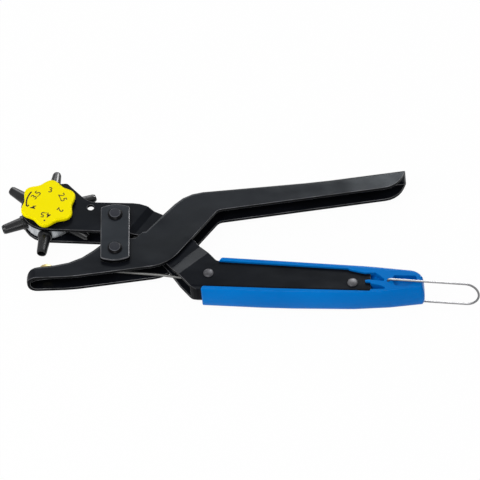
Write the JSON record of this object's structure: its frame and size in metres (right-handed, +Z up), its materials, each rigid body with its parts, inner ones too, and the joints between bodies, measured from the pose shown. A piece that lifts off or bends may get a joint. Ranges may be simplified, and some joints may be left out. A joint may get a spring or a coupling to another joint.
{
  "type": "revolving punch pliers",
  "caption": "Punch pliers with a turning turret of screwed punch tubes over a brass anvil, crossed sheet-steel levers, an opening spring, a moulded grip and a wire bail.",
  "frame": {"origin": "on the lower pivot's axis, where the head of its rivet rests on the bench, with the tool lying on its side", "axes": "+X from the pivots towards the handles, +Y from the lower jaw towards the upper jaw, +Z up, along the pivots' axes and towards the waste cap"},
  "size_m": [0.2834, 0.1027, 0.025],
  "materials": {
    "lever_steel": "black satin",
    "link_steel": "dark satin",
    "rivet_steel": "dark satin",
    "sleeve_steel": "bare satin",
    "spring_steel": "bright drawn wire",
    "anvil_brass": "turned",
    "hub_metal": "cast, satin",
    "tube_steel": "hardened, satin",
    "cap_yellow": "moulded",
    "grip_blue": "moulded",
    "bail_wire": "bright"
  },
  "bodies": {
    "link": {"near_link_plate": "link_steel", "far_link_plate": "link_steel", "lower_pivot_rivet": "rivet_steel", "upper_pivot_rivet": "rivet_steel", "lower_pivot_sleeve": "sleeve_steel", "upper_pivot_sleeve": "sleeve_steel", "opening_spring": "spring_steel"},
    "lower_lever": {"lower_jaw_lever": "lever_steel", "anvil": "anvil_brass"},
    "upper_lever": {"upper_jaw_lever": "lever_steel", "handle_grip": "grip_blue", "front_handle_rivet": "rivet_steel", "front_rivet_sleeve": "sleeve_steel", "rear_handle_rivet": "rivet_steel", "rear_rivet_sleeve": "sleeve_steel"},
    "turret": {"turret_hub": "hub_metal", "punch_tube_4_5": "tube_steel", "punch_tube_2_0": "tube_steel", "punch_tube_2_5": "tube_steel", "punch_tube_3_0": "tube_steel", "punch_tube_3_5": "tube_steel", "punch_tube_4_0": "tube_steel", "turret_retaining_ring": "spring_steel", "detent_ball": "bail_wire", "detent_spring": "spring_steel"},
    "cap": {"waste_cap": "cap_yellow"},
    "bail": {"wire_bail": "bail_wire"}
  },
  "joints": [
    {"name": "upper_lever_pivot", "type": "hinge", "parent": "link", "child": "upper_lever", "pos_m": [0, 0.0247, 0.0125], "axis": [0, 0, 1], "range_deg": [0, 6.9], "stiffness_Nm_per_rad": 2, "springref_deg": -20.05, "deforming": ["opening_spring"]},
    {"name": "lower_lever_pivot", "type": "hinge", "parent": "link", "child": "lower_lever", "pos_m": [0, 0, 0.0125], "axis": [0, 0, 1], "range_deg": [-6.9, 0]},
    {"name": "turret_turn", "type": "hinge", "parent": "upper_lever", "child": "turret", "pos_m": [-0.0399, 0.0348, 0.0125], "axis": [0, 0, 1], "continuous": true},
    {"name": "cap_lift", "type": "slide", "parent": "turret", "child": "cap", "axis": [0, 0, 1], "range_m": [0, 0.02]},
    {"name": "bail_swing", "type": "hinge", "parent": "upper_lever", "child": "bail", "pos_m": [0.16119, -0.0293, 0.0125], "axis": [0, 0, 1], "range_deg": [-100, 110]}
  ],
  "couplings": [
    {"joint": "lower_lever_pivot", "follows": "upper_lever_pivot", "ratio": -1}
  ]
}
